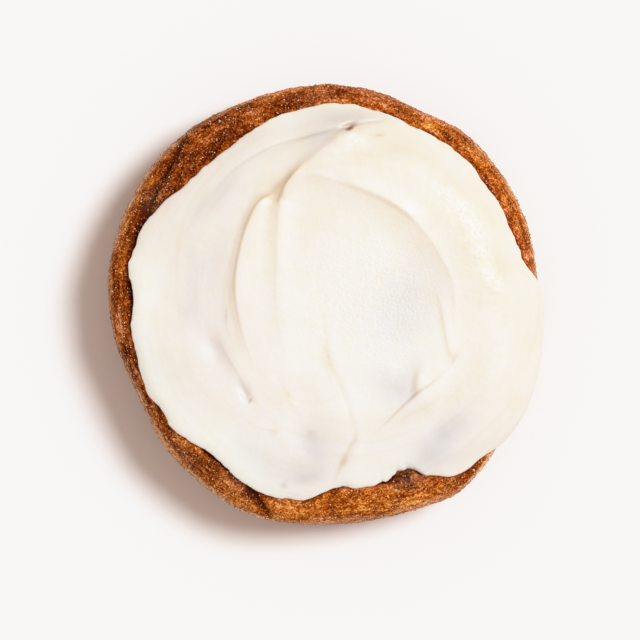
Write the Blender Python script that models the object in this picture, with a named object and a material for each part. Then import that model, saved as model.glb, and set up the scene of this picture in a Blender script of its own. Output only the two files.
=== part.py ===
"""An iced cinnamon roll: a wound, sugar-crusted bun under a thick spread of soft cheese icing.

Units are metres and +Z is up. The bun stands on its flat base, and the origin is on the
ground under the middle of the whole. Angles run anticlockwise seen from above, from +X.
Both pieces are laid out along the bun's meridian: the curve that runs from the middle of
the crown, over the shoulder and down the side to the middle of the base.
"""

import math
from collections import namedtuple

import bpy
import numpy as np

MM = 0.001
NEGLIGIBLE = 1e-6 * MM

# The bun
BUN_RADIUS = 52.0 * MM  # at its widest line, before the lobes
BUN_HEIGHT = 30.0 * MM
WIDEST_HEIGHT = 13.5 * MM
CROWN_POWER = 4.8  # of the superellipse from the crown to the widest line; 2 is an ellipse
FOOT_POWER = 2.3  # of the one from there to the base
FOOT_INSET = 7.5 * MM  # from the widest line in to the edge of the flat base

# The dough strip's winding, whose groove shows on the shoulder and underneath
TAIL_ANGLE = math.radians(129)  # where the strip ends on the outside
TAIL_THICKNESS = 4.8 * MM
TAIL_TAPER = math.radians(12)
WRAP_PITCH = 9.5 * MM
GROOVE_DEPTH = 1.5 * MM
BASE_GROOVE_DEPTH = 0.8 * MM
GROOVE_WIDTH = 1.5 * MM
EYE_RADIUS = 11.0 * MM  # the flat middle of the base, inside the last turn
SEAM_DEPTH = 0.5 * MM
SEAM_WIDTH = 2.0 * MM
SEAM_RISE = 2.0 * MM  # the seam starts this far above the widest line
HIDDEN_FROM = 26.0 * MM  # further up than this the icing hides the crust, which is left plain
SWELL = 0.45 * MM  # uneven rise of the baked dough

# The icing
GAP = 0.3 * MM  # between the crust and the icing
ICING_REACH = 47.85 * MM  # from the middle to the icing's edge, seen from above
ICING_THICKNESS = 2.7 * MM  # between the strokes that it was spread with
EDGE_THINNING = 0.5  # share of the thickness that is missing at its edge
EDGE_SPREAD = 7.0 * MM  # how far in from the edge that reaches
LIP_WIDTH = 1.8 * MM  # of the rounded edge
LIP_POWER = 2.4  # of its section, a superellipse
LIP_BULGE = 0.7 * MM  # how far the edge stands out over its foot
ICING_LEAST = 0.9 * MM  # where it was scraped thinnest

# Fineness
BUN_SEGMENTS, BUN_RINGS, BUN_FACETS = 192, 88, 5200
ICING_SEGMENTS, ICING_RINGS, ICING_FACETS = 224, 100, 8400
UNDERSIDE_SHARE = 0.16  # of the icing's rings that lie on the crust
LIP_SHARE = 0.14  # of its rings that go round its edge
LEVEL_BELOW = 0.05 * MM  # anything this low belongs to the flat base

Lobe = namedtuple("Lobe", "angle spread push")  # degrees, degrees, mm
BUN_LOBES = (
    Lobe(1, 20, -2.3),
    Lobe(65, 9, -0.7),
    Lobe(101, 26, 1.1),
    Lobe(148, 27, 2.0),
    Lobe(206, 14, -2.3),
    Lobe(254, 20, 1.8),
    Lobe(280, 12, 0.4),
    Lobe(306, 15, 3.6),
)
ICING_LOBES = (
    Lobe(19, 10, -0.7),
    Lobe(35, 8, -0.3),
    Lobe(63, 5, -0.6),
    Lobe(84, 9, 0.75),
    Lobe(129, 20, -3.3),
    Lobe(158, 8, 1.2),
    Lobe(169, 4, 1.1),
    Lobe(179, 5, -0.9),
    Lobe(213, 5, -0.5),
    Lobe(232, 9, -2.0),
    Lobe(251, 7, 0.4),
    Lobe(273, 6, -3.4),
    Lobe(284, 7, -2.4),
    Lobe(294, 4, -3.5),
    Lobe(298, 3, -1.8),
    Lobe(308, 7, 3.8),
)
# On one side the icing runs over the shoulder: from, to, how gradually, how far down the side
DRAPE_FROM, DRAPE_TO = math.radians(-53), math.radians(14)
DRAPE_IN, DRAPE_OUT = math.radians(26), math.radians(20)
DRAPE_LENGTH = 7.0 * MM

# A stroke's edge: a path of (x, y) in mm, with the raised side on its left. The edge is rise
# high. It falls to nothing over foot on the low side and over back on the raised side. A
# crease that wide runs along the low side, and both come in and die away over the fades.
Fold = namedtuple("Fold", "path rise foot back crease width fade_in fade_out")
BOWL_EDGE = (
    (-9, 30), (-5, 31.2), (-0.2, 30.4), (6.4, 28), (13.6, 25), (19.1, 21.4), (23.8, 16.4),
    (27.3, 10.9), (30, 3.9), (30.6, -11),
)
FOLDS = {
    "rim": Fold(
        (
            (16, 44.4), (7, 42.7), (0.8, 41.3), (-5.2, 39.7), (-14, 37.2), (-22, 32.4), (-29, 25),
            (-31, 22),
        ),
        0.45, 2.0, 2.6, 0.6, 0.5, 4, 34,
    ),
    "ridge": Fold(
        ((-23, 33.8), (-26.5, 31.6), (-31.4, 26.7), (-34.4, 19.4), (-35.9, 10.8), (-36.2, 2)),
        0.08, 1.1, 1.3, 0, 1, 6, 9,
    ),
    "middle": Fold(
        ((7, 42.9), (3.2, 40.6), (-0.4, 37.8), (-4.1, 34.9), (-7.3, 32.2), (-9.8, 29.4), (-11.6, 25.8)),
        0.85, 3.6, 3.5, 0.05, 1, 2, 3,
    ),
    "tongue": Fold(
        (
            (-11.4, 26), (-14.3, 25.8), (-17, 23.8), (-19.7, 18), (-21.7, 10), (-22.2, 3), (-20.9, -5),
            (-16.8, -18),
        ),
        0.8, 2.2, 6, 0.05, 0.4, 2, 32,
    ),
    "side": Fold(((-23.5, 9), (-24.7, 2), (-24.5, -4), (-22.5, -10)), 0.1, 1.6, 2.5, 0, 0.45, 6, 5),
    "seam": Fold(
        (
            (-11.3, 26.5), (-12, 19.4), (-12.3, 7.1), (-12.2, -1.5), (-10.9, -8.8), (-9.5, -16.2),
            (-8.6, -22.3),
        ),
        0.3, 4, 2.5, 0, 0.45, 2, 38,
    ),
    "tuck": Fold(
        ((4.5, -22.5), (-2, -24.4), (-7.5, -24.2), (-10.4, -21.8), (-12, -17)),
        0.1, 1.8, 3, 0.02, 0.5, 5, 5,
    ),
    "bowl": Fold(BOWL_EDGE, 0.9, 8, 22, 0, 1, 10, 26),
    "brim": Fold(BOWL_EDGE, 0.1, 1.2, 1.8, 0, 0.6, 6, 9),
    "flap": Fold(
        ((26, 4), (27.3, -1), (28.3, -7), (29.4, -12), (30.9, -12.6)),
        0.2, 1.4, 2.2, 0, 0.5, 6, 3,
    ),
    "overlap": Fold(
        ((31, -12.4), (29, -15.5), (25, -19.2), (21, -22), (17.5, -25.3), (11.5, -31), (8, -33.3)),
        0.42, 2, 5, 0.25, 0.4, 14, 14,
    ),
    "pocket": Fold(((22.6, -14.8), (21.5, -18), (20.8, -22)), 0.2, 1.6, 2, 0.06, 0.9, 3, 1.5),
    "swale": Fold(((29, -22.5), (23, -25.5), (15, -30)), 0.25, 3, 4, 0.1, 1, 5, 5),
    "hollow": Fold(
        (
            (2.6, -38.5), (5.5, -33), (4.6, -27.5), (3.3, -23), (1.2, -18), (-0.7, -13.5),
            (-1.5, -8), (-2.1, 0),
        ),
        0.06, 1.5, 3.5, 0.06, 1, 6, 12,
    ),
    "notch": Fold(((6.8, -32), (5.3, -35), (3.6, -38.2), (2, -43)), 0.2, 1.6, 4, 0.1, 0.6, 2, 1),
    "gash": Fold(((-28, -5), (-25, -10.8), (-21, -17.4), (-18.4, -23.5)), 0.2, 2, 3.4, 0.02, 0.5, 9, 1.5),
}
# Where the spread lies thicker or thinner: middle x, y, half length, half width, turn, height
Patch = namedtuple("Patch", "x y long wide turn height")
PATCHES = {
    "right mound": Patch(40, 2, 30, 9, 92, 0.4),
    "upper mound": Patch(22, 34, 20, 7, -40, 0.4),
    "lower mound": Patch(24, -33, 18, 7, 38, 0.4),
    "left mound": Patch(-33, -17, 19, 8, -58, 0.3),
    "middle": Patch(4, -2, 26, 14, 90, 0.3),
    "cleft": Patch(4.8, 42.5, 2.0, 0.9, 30, -1.8),
    "left scrape": Patch(-29, 9, 15, 4.5, 78, -0.6),
    "gash scrape": Patch(-27, -11, 5, 2.5, 120, -0.6),
    "gash floor": Patch(-19.8, -21.3, 2.6, 1.3, 115, -0.8),
    "lower scrape": Patch(-3.5, -33, 7, 4.5, 100, -0.8),
    "right scrape": Patch(29, -32.5, 8, 4, 50, -0.6),
    "bowl scrape": Patch(18, 3, 9, 7, 60, -0.4),
}
BLUR = 1.35  # these facets are large, so the feet and creases of the folds are drawn this wide

CRUST_COLOUR = (0.32, 0.10, 0.025, 1)
ICING_COLOUR = (0.88, 0.83, 0.75, 1)


def ease(x):
    """0 up to 0, 1 from 1 on, and a smooth rise between."""
    x = np.clip(x, 0, 1)
    return x * x * (3 - 2 * x)


def bell(x):
    """1 at the middle, falling to either side over about 1."""
    return np.exp(-np.square(x))


def turned(angle, middle):
    """The angle from middle, between half a turn back and half a turn on."""
    return (angle - middle + math.pi) % (2 * math.pi) - math.pi


def with_lobes(angle, radius, lobes):
    for lobe in lobes:
        off = turned(angle, math.radians(lobe.angle)) / math.radians(lobe.spread)
        radius = radius + lobe.push * MM * bell(off)
    return radius


def quarter(power, steps=160):
    """A quarter of a superellipse, from (0, 1) to (1, 0)."""
    turn = np.linspace(0, math.pi / 2, steps)
    return np.abs(np.sin(turn)) ** (2 / power), np.abs(np.cos(turn)) ** (2 / power)


def meridian():
    """The bun's mean profile as arrays of length along it, radius and height."""
    out, up = quarter(CROWN_POWER)
    crown_radius = BUN_RADIUS * out
    crown_height = WIDEST_HEIGHT + (BUN_HEIGHT - WIDEST_HEIGHT) * up
    down, back = quarter(FOOT_POWER)
    foot_radius = BUN_RADIUS - FOOT_INSET * (1 - back)
    foot_height = WIDEST_HEIGHT * (1 - down)
    radius = np.concatenate([crown_radius, foot_radius[1:], [0]])
    height = np.concatenate([crown_height, foot_height[1:], [0]])
    step = np.hypot(np.diff(radius), np.diff(height))
    return np.concatenate([[0], np.cumsum(step)]), radius, height


LENGTH, RADIUS, HEIGHT = meridian()
WIDEST_AT = LENGTH[np.argmax(RADIUS)]
BASE_AT = LENGTH[-2]  # where the flat base begins
END_AT = LENGTH[-1]


def bun_outline(angle):
    return with_lobes(angle, BUN_RADIUS, BUN_LOBES)


def swell(angle, at):
    """The crust's broad unevenness over the shoulder and the side."""
    wave = (
        np.sin(2 * angle + 0.6)
        + 0.7 * np.sin(5 * angle + 2.1) * np.cos(at / (11 * MM))
        + 0.5 * np.sin(9 * angle + at / (9 * MM))
    )
    crown = ease((at - WIDEST_AT + 28 * MM) / (20 * MM))
    foot = ease((BASE_AT - at) / (8 * MM))
    return SWELL * wave * crown * foot


def on_crust(angle, at, lift):
    """The point lift above the crust, at that length along the meridian, as x, y and z."""
    stretch = bun_outline(angle) / BUN_RADIUS
    radius = np.interp(at, LENGTH, RADIUS)
    height = np.interp(at, LENGTH, HEIGHT)
    near = 0.4 * MM
    before, after = np.maximum(at - near, 0), np.minimum(at + near, END_AT)
    run = (np.interp(after, LENGTH, RADIUS) - np.interp(before, LENGTH, RADIUS)) * stretch
    fall = np.interp(before, LENGTH, HEIGHT) - np.interp(after, LENGTH, HEIGHT)
    steep = np.hypot(run, fall)
    radius = radius * stretch + lift * fall / steep
    height = height + lift * run / steep
    return radius * np.cos(angle), radius * np.sin(angle), height


def groove_inset(angle, turns):
    """How far inside the outline the strip's groove lies, that many whole turns from its tail."""
    part = (angle - TAIL_ANGLE) % (2 * math.pi)
    taper = np.where(turns > 0, 0, np.exp(-part / TAIL_TAPER))
    return TAIL_THICKNESS * (1 - taper) + WRAP_PITCH * (turns + part / (2 * math.pi))


def groove(angle, at):
    """The wound strip's groove: a spiral over the shoulder and the base, and a seam between."""
    radius = np.interp(at, LENGTH, RADIUS)
    inset = (BUN_RADIUS - radius) * bun_outline(angle) / BUN_RADIUS
    off = np.full(inset.shape, np.inf)
    for turns in range(math.ceil(BUN_RADIUS / WRAP_PITCH)):
        this = inset - groove_inset(angle, turns)
        off = np.where(np.abs(this) < np.abs(off), this, off)
    shown = ease((at - WIDEST_AT + HIDDEN_FROM) / (6 * MM))
    depth = np.where(at > WIDEST_AT, BASE_GROOVE_DEPTH, GROOVE_DEPTH * shown)
    from_tail = (angle - TAIL_ANGLE) % (2 * math.pi) + np.where(inset > TAIL_THICKNESS, TAIL_TAPER, 0)
    spiral = depth * bell(off / GROOVE_WIDTH) * ease(1.5 * from_tail / TAIL_TAPER)
    spiral = spiral * ease((radius - EYE_RADIUS) / (3 * MM))
    seam = SEAM_DEPTH * bell(turned(angle, TAIL_ANGLE) * bun_outline(angle) / SEAM_WIDTH)
    seam = seam * ease((at - WIDEST_AT + SEAM_RISE) / (6 * MM)) * ease((END_AT - at) / (8 * MM) - 4)
    return np.maximum(spiral, seam)


def smooth_path(points, steps=8):
    """A curve through the points (Catmull-Rom), as an array of x, y in metres."""
    known = np.array(points, float) * MM
    known = np.vstack([2 * known[0] - known[1], known, 2 * known[-1] - known[-2]])
    part = np.linspace(0, 1, steps, endpoint=False)[:, None]
    curve = []
    for a, b, c, d in zip(known, known[1:], known[2:], known[3:]):
        bend = (2 * a - 5 * b + 4 * c - d) * part**2 + (3 * b - a - 3 * c + d) * part**3
        curve.append(b + 0.5 * ((c - a) * part + bend))
    return np.vstack(curve + [known[-2:-1]])


def pieces_of(path):
    """A path's straight pieces: start, direction, length, and place along the whole."""
    start = 0
    for (ax, ay), (bx, by) in zip(path, path[1:]):
        long = math.hypot(bx - ax, by - ay)
        yield ax, ay, (bx - ax) / long, (by - ay) / long, long, start
        start += long


def beside(path, x, y, fade_in, fade_out):
    """Each point's distance from the path, positive on its left, and the path's strength there.

    The strength is 0 at the ends. It is a mean over the nearest pieces, so it has no jump
    where two stretches of the path are equally near.
    """
    near = np.full(x.shape, np.inf)
    side = np.ones(x.shape)
    beyond = np.zeros(x.shape)
    whole = sum(piece[4] for piece in pieces_of(path))
    found = []
    for ax, ay, dx, dy, long, start in pieces_of(path):
        full = (x - ax) * dx + (y - ay) * dy
        along = np.clip(full, 0, long)
        off = np.hypot(x - ax - along * dx, y - ay - along * dy)
        side = np.where(off < near, np.sign(dx * (y - ay) - dy * (x - ax)), side)
        past = np.maximum(-full / fade_in if start == 0 else 0, 0)
        if start + long > whole - NEGLIGIBLE:
            past = np.maximum(past, (full - long) / fade_out)
        beyond = np.where(off < near, past, beyond)
        near = np.minimum(near, off)
        place = start + along
        found.append((off, ease(place / fade_in) * ease((whole - place) / fade_out)))
    weights = [np.exp((near - off) / (0.25 * near + 0.3 * MM)) for off, _ in found]
    strength = sum(w * fade for w, (_, fade) in zip(weights, found)) / sum(weights)
    return near * side, strength * ease(1 - beyond)


def fold_height(fold, x, y):
    fades = fold.fade_in * MM, fold.fade_out * MM
    off, strength = beside(smooth_path(fold.path), x, y, *fades)
    foot = BLUR * fold.foot * MM
    width = BLUR * fold.width * MM
    low = np.square(1 - np.clip(-off / foot, 0, 1))
    high = bell(off / (fold.back * MM))
    ridge = fold.rise * np.where(off < 0, low, high)
    crease = fold.crease * bell((off + width) / width)
    return (ridge - crease) * strength * MM


def patch_height(patch, x, y):
    turn = math.radians(patch.turn)
    dx, dy = x - patch.x * MM, y - patch.y * MM
    along = (dx * math.cos(turn) + dy * math.sin(turn)) / (patch.long * MM)
    across = (dy * math.cos(turn) - dx * math.sin(turn)) / (patch.wide * MM)
    return patch.height * MM * bell(np.hypot(along, across))


def icing_thickness(x, y):
    """How thick the icing lies at each point, inside its rounded edge."""
    thick = np.full(x.shape, ICING_THICKNESS)
    for fold in FOLDS.values():
        thick = thick + fold_height(fold, x, y)
    for patch in PATCHES.values():
        thick = thick + patch_height(patch, x, y)
    over = thick - ICING_LEAST
    return ICING_LEAST + 0.5 * (over + np.hypot(over, 0.4 * MM))


def icing_edge(angle):
    """Where the icing's edge lies, as a length along the meridian."""
    reach = with_lobes(angle, ICING_REACH, ICING_LOBES) - LIP_BULGE
    share = np.clip(reach / bun_outline(angle), 0, 0.995)
    crown = LENGTH <= WIDEST_AT
    edge = np.interp(share * BUN_RADIUS, RADIUS[crown], LENGTH[crown])
    from_start, to_end = turned(angle, DRAPE_FROM), turned(DRAPE_TO, angle)
    draped = ease(from_start / DRAPE_IN) * ease(to_end / DRAPE_OUT)
    return edge + (WIDEST_AT - 9 * MM + DRAPE_LENGTH - edge) * draped


def wound_sphere(name, segments, rings, place, start=0.0):
    """A sphere whose rings, from the top pole down, are moved to where place(angle, share) says."""
    bpy.ops.mesh.primitive_uv_sphere_add(segments=segments, ring_count=rings)
    piece = bpy.context.object
    piece.name = name
    piece.data.name = name
    x, y, z = vertices_of(piece).T
    angle = np.arctan2(y, x) + start
    share = np.round(np.arccos(np.clip(z, -1, 1)) / math.pi * rings) / rings
    set_vertices(piece, np.stack(place(angle, share), axis=1))
    piece.data.shade_smooth()
    return piece


def with_fewer_facets(piece, facets):
    """Collapses edges where the surface is plainest until about this many triangles are left."""
    triangles = sum(len(face.vertices) - 2 for face in piece.data.polygons)
    fewer = piece.modifiers.new("fewer facets", "DECIMATE")
    fewer.ratio = facets / triangles
    bpy.context.view_layer.objects.active = piece
    bpy.ops.object.modifier_apply(modifier=fewer.name)


def vertices_of(piece):
    points = np.empty(3 * len(piece.data.vertices))
    piece.data.vertices.foreach_get("co", points)
    return points.reshape(-1, 3)


def set_vertices(piece, points):
    piece.data.vertices.foreach_set("co", points.ravel())
    piece.data.update()


def level_base(bun):
    points = vertices_of(bun)
    points[:, 2] = np.where(points[:, 2] < LEVEL_BELOW, 0, points[:, 2])
    set_vertices(bun, points)


def centre(pieces):
    """Moves the pieces until the middle of the whole is over the origin."""
    every = np.vstack([vertices_of(piece) for piece in pieces])
    middle = (every.min(axis=0) + every.max(axis=0)) / 2
    middle[2] = 0
    for piece in pieces:
        set_vertices(piece, vertices_of(piece) - middle)


def finish(name, colour, roughness):
    material = bpy.data.materials.new(name)
    material.use_nodes = True
    shader = material.node_tree.nodes["Principled BSDF"]
    shader.inputs["Base Color"].default_value = colour
    shader.inputs["Roughness"].default_value = roughness
    shader.inputs["Metallic"].default_value = 0.0
    return material


def make_bun():
    def place(angle, share):
        at = share * END_AT
        lift = swell(angle, at) - groove(angle, at)
        return on_crust(angle, at, lift)

    bun = wound_sphere("bun", BUN_SEGMENTS, BUN_RINGS, place, TAIL_ANGLE)
    with_fewer_facets(bun, BUN_FACETS)
    level_base(bun)
    bun.data.materials.append(finish("sugared crust", CRUST_COLOUR, 0.75))
    return bun


def make_icing():
    """A layer that follows the crust, with its strokes on top, a rounded edge and a plain back."""
    under = UNDERSIDE_SHARE
    lip = LIP_SHARE
    top = 1 - under - lip

    def place(angle, share):
        edge = icing_edge(angle)
        inner = share / top * (edge - LIP_WIDTH)
        round_edge = edge - LIP_WIDTH * (1 - np.sin((share - top) / lip * math.pi / 2))
        back = edge * (1 - share) / under
        at = np.where(share <= top, inner, np.where(share <= top + lip, round_edge, back))
        x, y, _ = on_crust(angle, at, 0.0)
        inward = np.clip((edge - at) / LIP_WIDTH, 0, 1)
        full = (1 - (1 - inward) ** LIP_POWER) ** (1 / LIP_POWER)
        thinner = 1 - EDGE_THINNING * bell((edge - at) / EDGE_SPREAD)
        thick = np.where(share < top + lip, icing_thickness(x, y) * thinner * full, 0)
        return on_crust(angle, at, swell(angle, at) + GAP + thick)

    icing = wound_sphere("icing", ICING_SEGMENTS, ICING_RINGS, place)
    with_fewer_facets(icing, ICING_FACETS)
    icing.data.materials.append(finish("cheese icing", ICING_COLOUR, 0.42))
    return icing


def main():
    for old in list(bpy.data.objects):
        bpy.data.objects.remove(old)
    roll = bpy.data.collections.new("cinnamon_roll")
    bpy.context.scene.collection.children.link(roll)
    pieces = make_bun(), make_icing()
    centre(pieces)
    for piece in pieces:
        for holder in list(piece.users_collection):
            holder.objects.unlink(piece)
        roll.objects.link(piece)


main()
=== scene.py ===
"""The looks of an iced cinnamon roll: a sugar-crusted bun under a spread of soft icing.

Units are metres. Angles run anticlockwise seen from above, from +X. Both pieces are laid out
along the bun's meridian: the curve from the middle of the crown, over the shoulder and down
the side to the middle of the base. Lists of lobes, folds and patches are in degrees and mm.
"""

import math
from collections import namedtuple

import bpy
import numpy as np
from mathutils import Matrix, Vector


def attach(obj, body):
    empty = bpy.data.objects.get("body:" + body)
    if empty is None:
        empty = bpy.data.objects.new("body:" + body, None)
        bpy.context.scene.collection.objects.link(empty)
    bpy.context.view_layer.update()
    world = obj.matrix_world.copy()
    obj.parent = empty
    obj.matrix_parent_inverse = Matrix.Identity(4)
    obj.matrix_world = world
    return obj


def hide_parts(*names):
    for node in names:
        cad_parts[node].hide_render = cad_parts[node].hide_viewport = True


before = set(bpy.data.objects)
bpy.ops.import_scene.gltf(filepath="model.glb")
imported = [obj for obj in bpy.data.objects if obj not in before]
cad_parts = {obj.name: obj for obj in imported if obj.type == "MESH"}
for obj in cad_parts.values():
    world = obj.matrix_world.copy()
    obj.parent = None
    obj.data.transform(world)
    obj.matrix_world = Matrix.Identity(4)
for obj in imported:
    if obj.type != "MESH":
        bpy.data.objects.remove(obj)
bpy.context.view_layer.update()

MM = 0.001
MIDDLE = Vector((-0.289 * MM, -0.049 * MM, 0))  # from the winding's middle to the box's

# The bun
BUN_RADIUS = 51.9 * MM  # at its widest line, before the lobes
BUN_HEIGHT = 30 * MM
WIDEST_HEIGHT = 13.5 * MM
CROWN_POWER = 4.8  # of the superellipse from the crown to the widest line; 2 is an ellipse
FOOT_POWER = 2.3  # of the one from there to the base
FOOT_INSET = 7.5 * MM  # from the widest line in to the edge of the flat base

# The dough strip's winding, whose groove shows on the shoulder and underneath
TAIL_ANGLE = math.radians(129)  # where the strip ends on the outside
TAIL_THICKNESS = 4.8 * MM
TAIL_TAPER = math.radians(12)
WRAP_PITCH = 9.5 * MM
GROOVE_DEPTH = 1.7 * MM
BASE_GROOVE_DEPTH = 0.8 * MM
GROOVE_WIDTH = 1 * MM
GROOVE_START = math.radians(8)  # how far from the tail it takes to reach its depth
EYE_RADIUS = 11 * MM  # the flat middle of the base, inside the last turn
EYE_FADE = 3 * MM  # the stretch round it over which the groove comes in
SEAM_DEPTH = 0.5 * MM
SEAM_WIDTH = 1.6 * MM
SEAM_RISE, SEAM_FADE_IN = 2 * MM, 6 * MM  # it starts this far above the widest line
SEAM_END, SEAM_FADE_OUT = 32 * MM, 8 * MM  # and ends this far from the middle of the base

# The baked crust's surface
RIM_WIDTH = 26 * MM  # how far in from the widest line the crust can show past the icing
SWELL = 0.45 * MM  # uneven rise of the dough, in ripples
SWELL_SLOPE, SWELL_TWIST = 11 * MM, 9 * MM  # how fast the ripples change down the meridian
SWELL_RISE, SWELL_FADE_IN = 28 * MM, 20 * MM  # they start this far above the widest line
SWELL_FADE_OUT = 8 * MM  # and die away over this much above the base
BASE_FADE = 4 * MM  # the stretch above the base over which the fine relief does so
SLOPE_REACH = 0.4 * MM  # how far to either side the crust's slope is measured
STREAK_STRETCH = 5.5  # how much longer than wide the crust's streaks are

# The icing
GAP = 0.3 * MM  # between the crust and the icing
EDGE_SINK, SINK_WIDTH = 0.5 * MM, 1.5 * MM  # how far its edge settles, and over what width
ICING_REACH = 47.85 * MM  # from the middle to the icing's edge, seen from above
ICING_MOST_REACH = 0.995  # the largest share of the bun's radius that this may be
ICING_THICKNESS = 2.7 * MM  # between the strokes that it was spread with
EDGE_THINNING = 0.5  # share of the thickness that is missing at its edge
EDGE_SPREAD = 7 * MM  # how far in from the edge that reaches
LIP_WIDTH = 1.3 * MM  # of the rounded edge
LIP_POWER = 3.0  # of its section, a superellipse
LIP_BULGE = 0.68 * MM  # how far the edge stands out over its foot
ICING_LEAST, LEAST_BLEND = 0.9 * MM, 0.4 * MM  # where it was scraped thinnest, and how softly
BOWL_X, BOWL_Y = 9 * MM, 2 * MM  # the middle of its hollow

# Unevenness made by smooth noise: its height, the size of its lumps, and its seed
Rough = namedtuple("Rough", "height size seed")
CRAGS = Rough(0.17 * MM, 1.1 * MM, 3)  # the crust's fine bumps
DIMPLES = Rough(0.22 * MM, 5 * MM, 9)  # its bumps as wide as a pea
STREAKS = Rough(0.16 * MM, 1.3 * MM, 41)  # its long streaks, which run with the winding
TORN_CRAGS = Rough(1.3 * MM, 0.9 * MM, 15)  # those of the torn bread
GROOVE_WANDER = Rough(0.4 * MM, 7 * MM, 31)  # how far the groove strays
EDGE_WAVES = Rough(0.22 * MM, 3.2 * MM, 21)  # how far the icing's edge wanders in and out
EDGE_TEARS = Rough(0.7 * MM, 1.4 * MM, 23)  # how far its torn places do so
OCTAVES, OCTAVE_SHARE = 3, 0.55  # each octave is half as wide as the last and this much as high

# Fineness
BUN_SEGMENTS, BUN_RINGS = 720, 230
RIM_FROM, RIM_TO = 0.10, 0.74  # the shares of its rings between which its rim and side lie
ICING_SEGMENTS, ICING_RINGS = 840, 240
UNDERSIDE_SHARE = 0.05  # of the icing's rings that lie on the crust
LIP_SHARE = 0.11  # of its rings that go round its edge
PROFILE_STEPS = 160  # in each quarter of the bun's profile
PATH_STEPS = 8  # from each point of a path to the next
PATH_BLEND, LEAST_PATH_BLEND = 0.25, 0.3 * MM  # how far two stretches of a path blend
NEGLIGIBLE = 1e-6 * MM

Lobe = namedtuple("Lobe", "angle spread push")  # degrees, degrees, mm
BUN_LOBES = (
    Lobe(1, 20, -2.3),
    Lobe(65, 9, -0.7),
    Lobe(101, 26, 1.1),
    Lobe(148, 27, 2),
    Lobe(206, 14, -2.3),
    Lobe(254, 20, 1.8),
    Lobe(280, 12, 0.4),
    Lobe(306, 15, 3.6),
)
ICING_LOBES = (
    Lobe(15, 4, 0.35),
    Lobe(19, 10, -0.7),
    Lobe(35, 8, -0.3),
    Lobe(46, 4, 0.3),
    Lobe(63, 5, -0.6),
    Lobe(84, 9, 0.75),
    Lobe(129, 20, -3.3),
    Lobe(141, 4, -0.5),
    Lobe(158, 8, 1.2),
    Lobe(169, 4, 1.1),
    Lobe(179, 5, -0.9),
    Lobe(207, 3, 0.3),
    Lobe(213, 5, -0.5),
    Lobe(218, 3, 0.5),
    Lobe(232, 9, -2),
    Lobe(251, 7, 0.4),
    Lobe(273, 6, -3.4),
    Lobe(274, 2, 0.5),
    Lobe(279, 4, 0.2),
    Lobe(284, 7, -2.4),
    Lobe(287.5, 2, -0.5),
    Lobe(293.5, 4, -3.5),
    Lobe(297, 2.5, -1.6),
    Lobe(301.5, 2.5, -0.9),
    Lobe(308, 7, 3.8),
    Lobe(311, 3, 0.6),
    Lobe(314, 3, 0.5),
)
# How much paler than elsewhere the bun's side is, or browner where the push is below 0. The
# paler lobes at 156 and 246 degrees are painted light on the shaded lower-left side.
PALER_SIDES_AND_PAINTED_LIGHT = (
    Lobe(78, 48, -0.85),
    Lobe(182, 14, -0.35),
    Lobe(286, 22, -0.35),
    Lobe(246, 18, 0.2),
    Lobe(156, 10, 0.2),
)
PLIED_SIDES = (Lobe(197, 30, 1), Lobe(288, 22, 0.6))  # where long thin streaks run round the bun
LEAST_BROAD = 6  # degrees; the icing's thickness follows only lobes that spread this far
BROAD_LOBES = tuple(lobe for lobe in ICING_LOBES if lobe.spread >= LEAST_BROAD)
# Where the icing's edge is torn, how much thinner it is there, and how far in
TORN_EDGES = (Lobe(296, 4, 1), Lobe(287, 1.5, 0.5), Lobe(274.5, 2, 0.5))
TORN_THINNING, TORN_REACH = 0.1, 1 * MM
# Where the icing's edge is painted whiter, as painted light mostly on the side away from the sun, how
# far in, and over what width that fades
PAINTED_EDGE_LIGHT = (
    Lobe(208, 34, 1),
    Lobe(175, 14, 0.5),
    Lobe(246, 12, 0.5),
    Lobe(288, 18, 0.4),
    Lobe(106, 9, 0.35),
)
EDGE_LIGHT_WIDTH, EDGE_LIGHT_FADE = 3 * MM, 5 * MM
# On one side the icing runs over the shoulder: from, to, how gradually, and how far above the
# widest line it stops
DRAPE_FROM, DRAPE_TO = math.radians(-53), math.radians(14)
DRAPE_IN, DRAPE_OUT = math.radians(26), math.radians(20)
DRAPE_RISE = 2 * MM
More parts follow.
